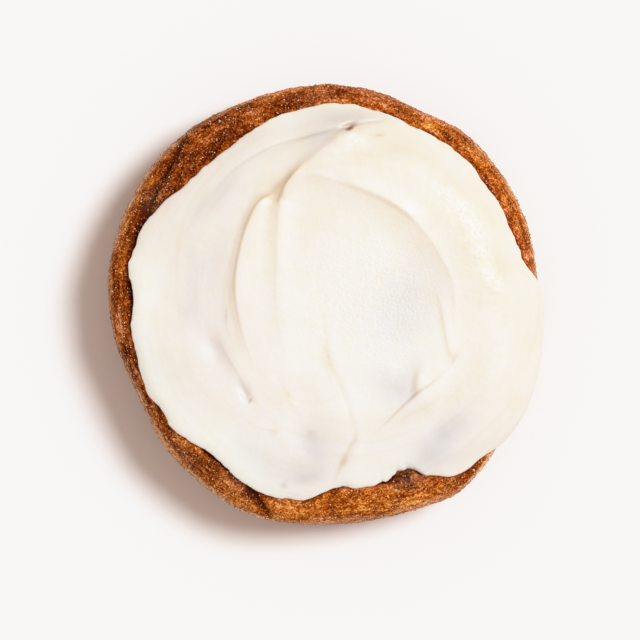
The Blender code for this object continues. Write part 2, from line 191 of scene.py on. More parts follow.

# A stroke's edge: a path of (x, y), with the raised side on its left. The edge is rise high.
# It falls to nothing over foot on the low side and over back on the raised side. A crease of
# that depth and width runs along the low side. All of it comes in and dies away over the two
# fades. The painted crease shade is how strongly the crease is painted with yellowish shade.
Fold = namedtuple("Fold", "path rise foot back crease width fade_in fade_out stain")
BOWL_EDGE = (
    (-9, 30), (-5, 31.2), (-0.2, 30.4), (6.4, 28), (13.6, 25), (19.1, 21.4), (23.8, 16.4),
    (27.3, 10.9), (30, 3.9), (30.6, -11),
)
FOLDS = {
    "rim": Fold(
        (
            (16, 44.4), (7, 42.7), (0.8, 41.3), (-5.2, 39.7), (-14, 37.2), (-22, 32.4), (-29, 25),
            (-31, 22),
        ),
        0.5, 2.4, 2.8, 0.6, 0.6, 4, 34, 0,
    ),
    "ridge": Fold(
        ((-23, 33.8), (-26.5, 31.6), (-31.4, 26.7), (-34.4, 19.4), (-35.9, 10.8), (-36.2, 2)),
        0.08, 1.1, 1.3, 0, 1, 6, 9, 0,
    ),
    "middle": Fold(
        ((7, 42.9), (3.2, 40.6), (-0.4, 37.8), (-4.1, 34.9), (-7.3, 32.2), (-9.8, 29.4), (-11.6, 25.8)),
        0.85, 3.6, 3.5, 0.05, 1, 2, 7, 0.2,
    ),
    "pinch": Fold(
        ((-5.5, 33.7), (-7.5, 31.9), (-9.8, 29.2), (-11.5, 25.8), (-11.9, 23)),
        0.4, 1.5, 2.2, 0.1, 0.4, 4, 3, 0.5,
    ),
    "tongue": Fold(
        (
            (-11.4, 26), (-14.3, 25.8), (-17, 23.8), (-19.7, 18), (-21.7, 10), (-22.2, 3), (-20.9, -5),
            (-16.8, -18),
        ),
        0.8, 2.2, 6, 0.05, 0.4, 6, 32, 0.5,
    ),
    "side": Fold(((-23.5, 9), (-24.7, 2), (-24.5, -4), (-22.5, -10)), 0.1, 1.6, 2.5, 0, 0.45, 6, 5, 0.1),
    "seam": Fold(
        (
            (-11.3, 26.5), (-12, 19.4), (-12.3, 7.1), (-12.2, -1.5), (-10.9, -8.8), (-9.5, -16.2),
            (-8.6, -22.3),
        ),
        0.3, 4, 2.5, 0, 0.45, 4, 38, 0.1,
    ),
    "tuck": Fold(
        ((4.5, -22.5), (-2, -24.4), (-7.5, -24.2), (-10.4, -21.8), (-12, -17)),
        0.16, 2.6, 3.4, 0.02, 0.9, 6, 6, 0.2,
    ),
    "bowl": Fold(BOWL_EDGE, 0.9, 8, 22, 0, 1, 10, 26, 0),
    "brim": Fold(BOWL_EDGE, 0.06, 0.8, 1.2, 0, 0.5, 6, 9, 0),
    "facet": Fold(
        ((2, 30.5), (6.4, 28.6), (13.6, 25.5), (19.1, 21.9), (23, 18)),
        0.4, 1.6, 2.6, 0, 0.5, 5, 7, 0,
    ),
    "flap": Fold(
        ((26, 4), (27.3, -1), (28.3, -7), (29.4, -12), (30.9, -12.6)),
        0.2, 1.4, 2.2, 0, 0.5, 6, 3, 0.2,
    ),
    "overlap": Fold(
        ((31, -12.4), (29, -15.5), (25, -19.2), (21, -22), (17.5, -25.3), (11.5, -31), (8, -33.3)),
        0.42, 2, 5, 0.25, 0.4, 14, 14, 0.4,
    ),
    "pocket": Fold(((22.6, -14.8), (21.5, -18), (20.8, -22)), 0.2, 1.6, 2, 0.06, 0.9, 3, 1.5, 0.3),
    "swale": Fold(((29, -22.5), (23, -25.5), (15, -30)), 0.25, 3, 4, 0.1, 1, 5, 5, 0.2),
    "hollow": Fold(
        (
            (2.6, -38.5), (5.5, -33), (4.6, -27.5), (3.3, -23), (1.2, -18), (-0.7, -13.5),
            (-1.5, -8), (-2.1, 0),
        ),
        0.06, 1.5, 3.5, 0.06, 1, 6, 12, 0.35,
    ),
    "notch": Fold(((6.8, -32), (5.3, -35), (3.6, -38.2), (2, -43)), 0.2, 1.6, 4, 0.1, 0.6, 2, 1, 0.25),
    "gash": Fold(
        ((-28, -5), (-25, -10.8), (-21, -17.4), (-18.4, -23.5)),
        0.2, 2, 3.4, 0.02, 0.5, 9, 1.5, 0.1,
    ),
}
FOLD_REACH = 3  # feet or backs from its path; further out a fold adds nothing
CREASE_SHADE_OFF, CREASE_SHADE_WIDTH = 0.8, 0.9  # where a crease's painted shade lies and how wide it is, in its widths
MOST_CREASE_SHADE = 1.2

# Where the spread lies thicker or thinner. A patch, here and in the lists below, is its middle's
# x and y, half length, half width, turn, and height or strength.
PATCHES = {
    "right mound": (40, 2, 30, 9, 92, 0.4),
    "upper mound": (22, 34, 20, 7, -40, 0.4),
    "lower mound": (24, -33, 18, 7, 38, 0.4),
    "left mound": (-33, -17, 19, 8, -58, 0.3),
    "middle": (4, -2, 26, 14, 90, 0.3),
    "cleft": (4.8, 42.5, 2, 0.8, 30, -1.5),
    "left scrape": (-29, 9, 15, 4.5, 78, -0.6),
    "gash scrape": (-27, -11, 5, 2.5, 120, -0.6),
    "gash floor": (-19.8, -21.3, 2.6, 1.3, 115, -0.5),
    "lower scrape": (-3.5, -33, 7, 4.5, 100, -0.8),
    "right scrape": (29, -32.5, 8, 4, 50, -0.6),
    "bowl scrape": (18, 3, 9, 7, 60, -0.4),
}

# Where the icing lies so thin that it looks grey, and one patch of painted shade just inside the bowl's
# rim
GREYS = (
    (-27, -11.5, 6.5, 2.6, 120, 0.5),
    (-20, -21, 3, 1.7, 115, 0.45),
    (-28, 9, 8, 3.5, 83, 0.3),
    (-33.5, 14, 9, 3, 75, 0.25),
    (-8, 38.8, 9, 0.9, 22, 0.4),
    (-25.5, -4, 5, 2.2, 95, 0.25),
    (-33, -1, 5, 3.2, 95, 0.5),
    (-5, -32.4, 3.2, 2.6, 110, 0.4),
    (-7, -40.5, 9, 4.4, 175, 0.5),
    (-3.2, -35.5, 6, 4.2, 110, 0.5),
    (0, 39, 11, 3.2, 12, 0.25),
    (-5.2, -42.1, 3.4, 1.4, 5, 0.45),
    (-17, -38, 7, 3.5, 140, 0.3),
    (27.3, -32.3, 8.5, 3.6, 45, 0.9),
    (29, -37.5, 9, 2.6, 15, 0.5),
    (16, -20.5, 7, 3.6, 150, 0.75),
    (20, -17, 4, 2.5, 60, 0.5),
    (18, -1, 11, 7.5, 70, 0.65),
    (-30.8, 23, 4.5, 2, 55, 0.35),
    (-32, 8, 6, 2.2, 85, 0.45),
    (-8, 42.5, 14, 2.2, 14, 0.4),
    (6, 45.2, 9, 2.2, 0, 0.7),
    (-1.5, 40.8, 5, 2.2, 20, 0.5),
    (-25.5, 26.8, 6, 2.4, 55, 0.4),
    # painted shade just inside the bowl's rim
    (6, 25.5, 7, 2.6, -15, 0.2),
)
# Where crust shows through it
SPOTS = (
    (5.2, 42.1, 0.8, 0.5, 25, 1.3),
    (6, 43.1, 1.2, 0.5, 45, 0.4),
    (3.2, 41.8, 2.2, 0.35, 28, 0.25),
    (-4, -31.1, 1.1, 0.8, 0, 0.12),
    (-10.6, -43.8, 0.9, 0.7, 0, 0.2),
    (-18.7, -23.2, 0.7, 0.3, 60, 0.4),
    (-20.6, -22, 0.8, 0.28, 110, 0.3),
    (-24.4, -2.8, 1.6, 0.25, 92, 0.25),
    (-14.2, -30.3, 1.6, 0.25, -12, 0.12),
    (6.5, -32.8, 0.8, 0.4, 60, 0.1),
    (3.9, -37.8, 1, 0.4, 60, 0.1),
    (30.1, -13.4, 1.1, 0.4, 60, 0.1),
    (20.6, -22, 1.3, 0.35, 50, 0.2),
)
# Where its white is yellower, and painted yellowish shade under the bowl's rim and along creases and
# troughs
YELLOWS_AND_PAINTED_SHADE = (
    (18, 19, 13, 3.4, -45, 0.14),
    (-16.5, 5, 20, 4, 89, 0.25),
    (20, 35, 14, 3, -35, 0.2),
    (-0.2, -13.8, 4, 1, 105, 0.5),
    (-7.5, 32.5, 3, 1, 50, 0.3),
    (-12.2, 27.3, 2.4, 1.4, 60, 0.9),
    (-12, 26, 1.3, 1, 45, 1.2),
    (-10, 30.4, 2.5, 0.8, 52, 0.5),
    (4, -38, 1.7, 0.9, 60, 0.6),
    (-9.9, -21.6, 3, 0.6, 115, 0.5),
    (21.4, -20.3, 2, 1.1, 70, 0.45),
    (30.4, -12.9, 1.5, 0.8, 60, 0.4),
    (33.5, 15, 14, 4, 110, 0.3),
    (34, 13, 13, 6, 105, 0.3),
    (40, 8, 10, 3, 98, 0.32),
    (6, 40, 5, 2, 5, 0.2),
    (4, 20, 12, 4, -10, 0.12),
    (29, -22, 6, 3, 45, 0.12),
    (17, -27, 5, 2.5, 35, 0.12),
    (-12.9, 23, 2.5, 2, 70, 0.25),
    (-25, 32, 10, 4, 38, 0.1),
    (26, 25, 8, 4, -50, 0.12),
    (-22, -6, 6, 1.6, 98, 0.4),
    (-11.5, 5, 13, 2.6, 90, 0.22),
    (-4, -19, 6, 4, 0, 0.2),
    (-4.5, 18, 9, 4, 90, 0.15),
    (34, -18, 12, 4, 60, 0.2),
    (-15, 25.9, 2.6, 0.9, 10, 0.5),
    (-19.8, 20, 7, 1, 68, 0.3),
    (-23.4, 3, 7, 1.1, 88, 0.4),
    (-13.5, 20, 8, 1.4, 88, 0.3),
    (-12.8, -30.6, 0.9, 1.2, 0, 0.4),
    (12, 36, 9, 1.6, 12, 0.25),
    (12.3, 40.5, 1.3, 0.45, 0, 0.7),
    (24, -25.5, 6, 1.3, 28, 0.25),
    (29.4, -12, 2, 0.8, 60, 0.3),
)
# Where its white is cooler
COOLS = (
    (-22, 36, 20, 5, 38, 0.6),
    (-22, 28, 9, 5, 50, 0.9),
    (-4, 46, 14, 3, 10, 0.6),
    (26, 38, 14, 2.5, -42, 0.5),
    (18, 0, 12, 10, 70, 0.5),
    (28, -30, 14, 6, 45, 0.7),
    (6, -34, 12, 5, 8, 0.4),
    (-18, -33, 7, 4, 140, 0.7),
    (-25, 17, 8, 2.6, 75, 0.6),
    (-3, 37, 5, 2.5, 40, 0.8),
)
# Where the crust is darker: partly a browner bake, partly painted shade in the groove, under the strip's
# tail and beside the icing on the left
DARKS_AND_SHADE = (
    (-24, 39, 17, 3.5, 33, 0.8),
    (-30.5, 42.8, 7, 1.1, 40, 1.6),
    (-38.5, 27, 6, 3, 60, 0.8),
    (-47, 4, 18, 1.8, 88, 0.9),
    (-47.8, 13, 4, 1.6, 72, 0.8),
    (-48.5, -14, 16, 3.5, 106, 0.5),
    (-33, 32.5, 4, 1.6, 45, 0.5),
    (-12, 46.5, 6, 1.3, 15, 0.5),
    (-24, -41.5, 9, 1.6, -32, 0.8),
    (19, -42.5, 9, 1.8, 12, 0.4),
)
# Where it stayed golden
GOLDS = (
    (47.5, 23, 22, 3.2, 117, 0.9),
    (30, 41.5, 12, 3, -44, 0.5),
    (10, -49.5, 20, 3.2, 3, 0.9),
    (-33, -36.5, 12, 2.6, -46, 0.8),
    (-42.5, -24, 9, 3, -62, 0.6),
    (38, -38, 8, 4, 40, 1),
    (1, -46.8, 6, 1.6, 0, 0.6),
    (-51.5, 0, 14, 1.5, 88, 0.3),
    (-45.5, 27.5, 10, 1.6, 62, 0.6),
    (-8, 51.5, 12, 1.5, 4, 0.4),
    (-14, -49.5, 9, 2, -14, 0.9),
)
# Its dull, dry places
DULLS = (
    (-42, 25.2, 3.2, 2.2, 65, 1),
    (19, -41.5, 3.2, 2.2, 10, 0.85),
    (-35, -35.5, 6.5, 1.7, -43, 0.5),
    (-22, -42.5, 5, 2.2, -35, 0.5),
    (-2, 49, 5, 2, 0, 0.3),
)
# Torn bread that stands up where the icing's edge is torn, and how high it stands
TORN_HEIGHT = 1.3 * MM
TORN = (
    (17, -40.8, 2, 1.8, 20, 0.8),
    (20.4, -40.6, 1.8, 1.8, -20, 0.9),
    (18.6, -42.8, 2.2, 1, 15, 0.5),
    (3.6, -45.2, 1.4, 0.7, 0, 0.5),
)
# Where bread or icing fills the groove
FILLED = TORN + ((6.5, -44.5, 9, 1.8, 4, 1),)
CRACK = ((-19.5, -43), (-17, -46.5), (-13.2, -51.6))
CRACK_DEPTH, CRACK_WIDTH, CRACK_FADE = 0.8 * MM, 0.7 * MM, 1.5 * MM

# What colours the crust, including painted shade. Each stretch of its side starts that far above the
# widest line.
GROOVE_SHADE_POWER = 0.7  # of the painted shade in a groove: below 1 its sides are nearly as dark as its floor
# how wide the painted shade in the crack is
CRACK_SHADE_WIDTH = 0.91 * MM
ICING_SHADE_REACH = 1.2 * MM  # how far the painted shade on the crust reaches beside the icing
CREST_OUT, CREST_WIDTH = 2.4 * MM, 1.1 * MM  # the golden crest of the strip outside its groove
CREST_GOLD = 0.35
SIDE_RISE, SIDE_FADE = 11 * MM, 3.6 * MM  # the side's paler dough
FOOT_RISE, FOOT_FADE, FOOT_BROWNING = 2 * MM, 8 * MM, 0.55  # its browner foot
PLIES_RISE, PLIES_FADE, LEAST_PLIES = 17 * MM, 5 * MM, 0.6  # the thin streaks

# What colours the icing, including painted light and shade
MOST_YELLOW_AND_SHADE = 1.3
SHADE_SIDE_X, SHADE_SIDE_Y, SHADE_SIDE_WIDTH = 0.64, 0.77, 90 * MM  # painted cool shade, stronger away from this direction, on the side away from the sun
OUTER_FROM, OUTER_FADE = 22 * MM, 14 * MM  # from the bowl's middle, its streaked outer part
PITTED_REACH = 17 * MM  # and its pitted inner part

# The photograph's frame: what its middle shows, and how much its width takes in there
AIM = Vector((-1.9 * MM, -3.8 * MM, 20 * MM)) - MIDDLE
VIEW_WIDTH = 153.6 * MM
VIEW_DISTANCE = 1.5
SENSOR = 36.0

SUN_ANGLE, SUN_HEIGHT = math.radians(25), math.radians(61)
SUN_SPREAD = math.radians(19)
SUN_STRENGTH = 2.2
SKY_STRENGTH = 0.55
FLOOR_SIZE = 6.0
SUN_COLOUR = (0.93, 1.01, 1.065)
SKY_COLOUR = (1.0, 0.84, 0.76, 1)
FLOOR_COLOUR = (0.87, 0.865, 0.86, 1)
# A camera's tone curve: light in, light out. It flattens the brightest tones.
TONES = ((0, 0), (0.35, 0.35), (0.6, 0.66), (0.8, 0.87), (0.95, 0.935), (1.15, 0.965))
ALL_COLOURS = 3  # the place of the curve for red, green and blue together

# Patterns in the materials: the size of their lumps, octaves of detail, and roughness
Pattern = namedtuple("Pattern", "size detail rough")
CRUST_CLOUDS = Pattern(7 * MM, 3, 0.5)
CRUST_SPECKS = Pattern(1.8 * MM, 3, 0.6)
CRUST_STREAKS = Pattern(1.3 * MM, 4, 0.6)
CRUST_CRUMBS = Pattern(0.5 * MM, 3, 0.65)
CRUST_PLIES = Pattern(0.75 * MM, 3, 0.55)
CRUST_GOLD = Pattern(5 * MM, 2, 0.5)
GRAIN_PITS = Pattern(0.12 * MM, 2, 0.5)
ICING_CLOUDS = Pattern(6 * MM, 3, 0.5)
ICING_STREAKS = Pattern(1.6 * MM, 3, 0.6)
ICING_PITS = Pattern(0.7 * MM, 3, 0.65)
ICING_RIPPLES = Pattern(3.5 * MM, 2, 0.5)
PLY_STRETCH = (0.3, 0.3, 1)  # of places round the bun and down it, for thin long plies
ICING_DRIFT = (0.1, 0.1, 0.1)  # how much of each place is added to the icing's rings of streaks

# How strongly a pattern dents the surface, and how deep
STREAK_DENTS = 0.7, 0.5 * MM
SPECK_DENTS = 0.5, 0.4 * MM
CRUMB_DENTS = 1.0, 0.25 * MM
GRAIN_DENTS = 0.3, 0.03 * MM
RIPPLE_DENTS = 0.25, 0.5 * MM
ICING_STREAK_STRENGTH, ICING_STREAK_DEPTH = 0.15, 0.15 * MM
PIT_DEPTH = 0.25 * MM

# How much paler each pattern and mark makes the crust, and how its bake turns into colours
CLOUD_BAKE, SPECK_BAKE, STREAK_BAKE, CRUMB_BAKE, PLY_BAKE = 0.9, 0.95, 1.05, 1.7, 1.8
# beside the icing and in the groove the bake is painted shade; the darker patches are partly painted
# shade
DARK_AND_SHADE_BAKE, GOLD_BAKE, ICING_SHADE_BAKE, GROOVE_SHADE_BAKE = -0.20, 0.09, -0.05, -0.5
CRUST_BAKE = 0.48 - 0.5 * (CLOUD_BAKE + SPECK_BAKE + STREAK_BAKE + CRUMB_BAKE)
CRUST_TONES = (
    (0.08, (0.075, 0.0100, 0.0008, 1)),
    (0.24, (0.165, 0.0270, 0.0015, 1)),
    (0.40, (0.300, 0.0650, 0.0045, 1)),
    (0.52, (0.420, 0.1100, 0.0110, 1)),
    (0.64, (0.560, 0.1870, 0.0360, 1)),
    (0.78, (0.720, 0.3500, 0.1400, 1)),
    (0.94, (0.880, 0.5700, 0.3600, 1)),
)
CRUST_RED = (0.95, 0.84, 0.95, 1)
CRUST_GOLDEN = (1.03, 0.94, 0.45, 1)
GOLD_TINT, GOLDEN_RANGE = 0.35, (0.38, 0.72)
CRUMB_RANGE, CRUST_ROUGHNESS = (0.3, 0.7), (0.75, 0.45)
CRUST_SHINE, GRAIN_SHINE = 0.03, 0.3
DULL_SHARE = 0.8
DULL_TONES = (
    (0.10, (0.125, 0.044, 0.020, 1)),
    (0.38, (0.270, 0.105, 0.050, 1)),
    (0.62, (0.460, 0.240, 0.140, 1)),
)
SIDE_SHARE = 0.85
SIDE_TONES = (
    (0.20, (0.380, 0.160, 0.060, 1)),
    (0.50, (0.790, 0.480, 0.260, 1)),
    (0.80, (0.920, 0.700, 0.470, 1)),
)
ICING_WHITE = (0.83, 0.765, 0.685, 1)
ICING_CREAM = (0.82, 0.745, 0.645, 1)
# What each mark multiplies that by
ICING_TINTS = {
    "outer": (0.95, 0.93, 0.91, 1),
    # painted cool shade on the side away from the sun
    "painted_cool_shade": (1.01, 1.055, 1.135, 1),
    "cold": (0.975, 1.03, 1.09, 1),
    # painted light along the icing's edge
    "painted_edge_light": (1.17, 1.245, 1.23, 1),
    "grey": (0.77, 0.80, 0.84, 1),
    # yellower icing and painted shade in creases and under the bowl's rim
    "yellow_and_painted_shade": (0.81, 0.755, 0.64, 1),
}
ICING_STREAK = (0.975, 0.968, 0.955, 1)
ICING_BARE = (0.24, 0.10, 0.06, 1)
CREAM_RANGE, STREAK_RANGE = (0.35, 0.7), (0.45, 0.7)
PIT_RANGE, ICING_ROUGHNESS = (0.35, 0.65), (0.32, 0.46)

# Loose grains: how many, their least and greatest size in mm, seed, colours and roughness
Grains = namedtuple("Grains", "count size seed tones roughness")
GRAINS = {
    "sugar_pale": Grains(
        4500, (0.18, 0.44), 5, ((0, (0.66, 0.30, 0.10, 1)), (1, (0.98, 0.74, 0.50, 1))), 0.7
    ),
    "sugar_amber": Grains(
        18000, (0.12, 0.34), 6, ((0, (0.26, 0.06, 0.004, 1)), (1, (0.80, 0.36, 0.095, 1))), 0.6
    ),
    "cinnamon": Grains(
        4500, (0.14, 0.34), 7, ((0, (0.08, 0.016, 0.002, 1)), (1, (0.20, 0.045, 0.005, 1))), 1.0
    ),
}
GRAIN_TRIES = 4  # places tried for each grain; those under the icing are left out
GRAIN_CLEAR = (0.2, 1.2)  # mm between the icing's edge and where grains begin
GRAIN_TORN = 0.8  # they lie only where the bread is less torn than this
SPARSE_RISE, SPARSE_SHARE = 4 * MM, 0.65  # below this far above the widest line, fewer stick
GRAIN_LIFT = 0.15  # of its half size, from the crust to a grain's middle
GRAIN_UPRIGHT = 0.8  # how far grains tend to point outwards
GRAIN_UNEVEN = (0.7, 1.3)  # least and greatest length of its arms, in half sizes
GRAIN_FACES = ((0, 1, 2), (0, 2, 3), (0, 3, 4), (0, 4, 1), (5, 2, 1), (5, 3, 2), (5, 4, 3), (5, 1, 4))


def ease(x):
    """0 up to 0, 1 from 1 on, and a smooth rise between."""
    x = np.clip(x, 0, 1)
    return x * x * (3 - 2 * x)


def bell(x):
    """1 at the middle, falling to either side over about 1."""
    return np.exp(-np.square(x))


def turned(angle, middle):
    """The angle from middle, between half a turn back and half a turn on."""
    return (angle - middle + math.pi) % (2 * math.pi) - math.pi


def unit(vectors):
    return vectors / np.linalg.norm(vectors, axis=1)[:, None]


def with_lobes(angle, radius, lobes):
    for lobe in lobes:
        off = turned(angle, math.radians(lobe.angle)) / math.radians(lobe.spread)
        radius = radius + lobe.push * MM * bell(off)
    return radius


def along_edge(angle, lobes):
    """The lobes' pushes, as plain numbers."""
    return with_lobes(angle, 0, lobes) / MM


def quarter(power):
    """A quarter of a superellipse, from (0, 1) to (1, 0)."""
    turn = np.linspace(0, math.pi / 2, PROFILE_STEPS)
    return np.abs(np.sin(turn)) ** (2 / power), np.abs(np.cos(turn)) ** (2 / power)


def meridian():
    """The bun's mean profile as arrays of length along it, radius and height."""
    out, up = quarter(CROWN_POWER)
    crown_radius = BUN_RADIUS * out
    crown_height = WIDEST_HEIGHT + (BUN_HEIGHT - WIDEST_HEIGHT) * up
    down, back = quarter(FOOT_POWER)
    foot_radius = BUN_RADIUS - FOOT_INSET * (1 - back)
    foot_height = WIDEST_HEIGHT * (1 - down)
    radius = np.concatenate([crown_radius, foot_radius[1:], [0]])
    height = np.concatenate([crown_height, foot_height[1:], [0]])
    step = np.hypot(np.diff(radius), np.diff(height))
    return np.concatenate([[0], np.cumsum(step)]), radius, height


LENGTH, RADIUS, HEIGHT = meridian()
WIDEST_AT = LENGTH[np.argmax(RADIUS)]
BASE_AT = LENGTH[-2]  # where the flat base begins
END_AT = LENGTH[-1]


def bun_outline(angle):
    return with_lobes(angle, BUN_RADIUS, BUN_LOBES)


def below(at, rise, fade):
    """0 until that far above the widest line, rising to 1 over the fade."""
    return ease((at - WIDEST_AT + rise) / fade)


def swell(angle, at):
    """The crust's broad unevenness over the shoulder and the side: 2, 5 and 9 waves round it."""
    wave = (
        np.sin(2 * angle + 0.6)
        + 0.7 * np.sin(5 * angle + 2.1) * np.cos(at / SWELL_SLOPE)
        + 0.5 * np.sin(9 * angle + at / SWELL_TWIST)
    )
    foot = ease((BASE_AT - at) / SWELL_FADE_OUT)
    return SWELL * wave * below(at, SWELL_RISE, SWELL_FADE_IN) * foot


def on_crust(angle, at, lift):
    """The point lift above the crust, at that length along the meridian, as x, y and z."""
    stretch = bun_outline(angle) / BUN_RADIUS
    radius = np.interp(at, LENGTH, RADIUS)
    height = np.interp(at, LENGTH, HEIGHT)
    before, after = np.maximum(at - SLOPE_REACH, 0), np.minimum(at + SLOPE_REACH, END_AT)
    run = (np.interp(after, LENGTH, RADIUS) - np.interp(before, LENGTH, RADIUS)) * stretch
    fall = np.interp(before, LENGTH, HEIGHT) - np.interp(after, LENGTH, HEIGHT)
    steep = np.hypot(run, fall)
    radius = radius * stretch + lift * fall / steep
    height = height + lift * run / steep
    return radius * np.cos(angle), radius * np.sin(angle), height


def crust_inset(angle, at):
    """How far inside the outline a place on the crust lies, seen from above."""
    return (BUN_RADIUS - np.interp(at, LENGTH, RADIUS)) * bun_outline(angle) / BUN_RADIUS


def groove_inset(angle, turns):
    """How far inside the outline the strip's groove lies, that many whole turns from its tail."""
    part = (angle - TAIL_ANGLE) % (2 * math.pi)
    taper = np.where(turns > 0, 0, np.exp(-part / TAIL_TAPER))
    return TAIL_THICKNESS * (1 - taper) + WRAP_PITCH * (turns + part / (2 * math.pi))


def groove(angle, at):
    """The wound strip's groove: a spiral over the crown and the base, and a seam between."""
    inset = crust_inset(angle, at) + speckle(circle(angle, BUN_RADIUS), GROOVE_WANDER)
    off = np.full(inset.shape, np.inf)
    for turns in range(math.ceil(BUN_RADIUS / WRAP_PITCH)):
        this = inset - groove_inset(angle, turns)
        off = np.where(np.abs(this) < np.abs(off), this, off)
    depth = np.where(at > WIDEST_AT, BASE_GROOVE_DEPTH, GROOVE_DEPTH)
    from_tail = (angle - TAIL_ANGLE) % (2 * math.pi) + np.where(inset > TAIL_THICKNESS, TAIL_TAPER, 0)
    spiral = depth * bell(off / GROOVE_WIDTH) * ease(from_tail / GROOVE_START)
    spiral = spiral * ease((np.interp(at, LENGTH, RADIUS) - EYE_RADIUS) / EYE_FADE)
    seam = SEAM_DEPTH * bell(turned(angle, TAIL_ANGLE) * bun_outline(angle) / SEAM_WIDTH)
    seam = seam * below(at, SEAM_RISE, SEAM_FADE_IN) * ease((END_AT - at - SEAM_END) / SEAM_FADE_OUT)
    return np.maximum(spiral, seam)


def smooth_path(points):
    """A curve through the points (Catmull-Rom), as an array of x, y in metres."""
    known = np.array(points, float) * MM
    known = np.vstack([2 * known[0] - known[1], known, 2 * known[-1] - known[-2]])
    part = np.linspace(0, 1, PATH_STEPS, endpoint=False)[:, None]
    curve = []
    for a, b, c, d in zip(known, known[1:], known[2:], known[3:]):
        bend = (2 * a - 5 * b + 4 * c - d) * part**2 + (3 * b - a - 3 * c + d) * part**3
        curve.append(b + 0.5 * ((c - a) * part + bend))
    return np.vstack(curve + [known[-2:-1]])


def pieces_of(path):
    """A path's straight pieces: start, direction, length, and place along the whole."""
    start = 0
    for (ax, ay), (bx, by) in zip(path, path[1:]):
        long = math.hypot(bx - ax, by - ay)
        yield ax, ay, (bx - ax) / long, (by - ay) / long, long, start
        start += long


def beside(path, x, y, fade_in, fade_out):
    """Each point's distance from the path, positive on its left, and the path's strength there.

    The strength is 0 at the ends. It is a mean over the nearest pieces, so it has no jump
    where two stretches of the path are equally near.
    """
    near = np.full(x.shape, np.inf)
    side = np.ones(x.shape)
    beyond = np.zeros(x.shape)
    whole = sum(piece[4] for piece in pieces_of(path))
    found = []
    for ax, ay, dx, dy, long, start in pieces_of(path):
        full = (x - ax) * dx + (y - ay) * dy
        along = np.clip(full, 0, long)
        off = np.hypot(x - ax - along * dx, y - ay - along * dy)
        side = np.where(off < near, np.sign(dx * (y - ay) - dy * (x - ax)), side)
        past = np.maximum(-full / fade_in if start == 0 else 0, 0)
        if start + long > whole - NEGLIGIBLE:
            past = np.maximum(past, (full - long) / fade_out)
        beyond = np.where(off < near, past, beyond)
        near = np.minimum(near, off)
        place = start + along
        found.append((off, ease(place / fade_in) * ease((whole - place) / fade_out)))
    blend = PATH_BLEND * near + LEAST_PATH_BLEND
    weights = [np.exp((near - off) / blend) for off, _ in found]
    strength = sum(w * fade for w, (_, fade) in zip(weights, found)) / sum(weights)
    return near * side, strength * ease(1 - beyond)


def fold_shape(fold, x, y):
    """What the fold adds to the icing's height at each point, and how much painted shade its crease
    gets.
    """
    path = smooth_path(fold.path)
    reach = FOLD_REACH * max(fold.foot, fold.back) * MM
    low, high = path.min(axis=0) - reach, path.max(axis=0) + reach
    close = (x > low[0]) & (x < high[0]) & (y > low[1]) & (y < high[1])
    off, strength = beside(path, x[close], y[close], fold.fade_in * MM, fold.fade_out * MM)
    foot, width = fold.foot * MM, fold.width * MM
    low_side = np.square(1 - np.clip(-off / foot, 0, 1))
    ridge = fold.rise * np.where(off < 0, low_side, bell(off / (fold.back * MM)))
    crease = bell((off + width) / width)
    height, stain = np.zeros(x.shape), np.zeros(x.shape)
    height[close] = (ridge - fold.crease * crease) * strength * MM
    crease_shading = bell((off + CREASE_SHADE_OFF * width) / (CREASE_SHADE_WIDTH * width))
    stain[close] = fold.stain * crease_shading * strength
    return height, stain


def patch_shape(patch, x, y):
    middle_x, middle_y, long, wide, degrees, height = patch
    turn = math.radians(degrees)
    dx, dy = x - middle_x * MM, y - middle_y * MM
    along = (dx * math.cos(turn) + dy * math.sin(turn)) / (long * MM)
    across = (dy * math.cos(turn) - dx * math.sin(turn)) / (wide * MM)
    return height * bell(np.hypot(along, across))


def patches_shape(patches, x, y):
    return sum(patch_shape(patch, x, y) for patch in patches)


def patches_on(patches, x, y, where=1):
    """The patches' strength from 0 to 1, and 0 where the last argument is."""
    return np.clip(patches_shape(patches, x, y) * where, 0, 1)


def icing_shape(x, y):
    """How thick the icing lies at each point, inside its rounded edge, and the painted shade of its
    creases.
    """
    shapes = [fold_shape(fold, x, y) for fold in FOLDS.values()]
    thick = ICING_THICKNESS + sum(height for height, _ in shapes)
    thick = thick + MM * patches_shape(PATCHES.values(), x, y)
    over = thick - ICING_LEAST
    thick = ICING_LEAST + 0.5 * (over + np.hypot(over, LEAST_BLEND))
    return thick, np.minimum(sum(stain for _, stain in shapes), MOST_CREASE_SHADE)


def edge_wander(angle):
    """How far the icing's edge strays from its smooth course."""
    around = circle(angle, ICING_REACH)
    torn = along_edge(angle, TORN_EDGES) * speckle(around, EDGE_TEARS)
    return speckle(around, EDGE_WAVES) + torn


def icing_edge(angle, wander=0, lobes=ICING_LOBES):
    """Where the icing's edge lies, as a length along the meridian."""
    reach = with_lobes(angle, ICING_REACH, lobes) - LIP_BULGE + wander
    share = np.clip(reach / bun_outline(angle), 0, ICING_MOST_REACH)
    crown = LENGTH <= WIDEST_AT
    edge = np.interp(share * BUN_RADIUS, RADIUS[crown], LENGTH[crown])
    from_start, to_end = turned(angle, DRAPE_FROM), turned(DRAPE_TO, angle)
    draped = ease(from_start / DRAPE_IN) * ease(to_end / DRAPE_OUT)
    return edge + (WIDEST_AT - DRAPE_RISE - edge) * draped


def linked(name, data):
    """A new object of that name and data, in the scene."""
    made = bpy.data.objects.new(name, data)
    bpy.context.scene.collection.objects.link(made)
    return made


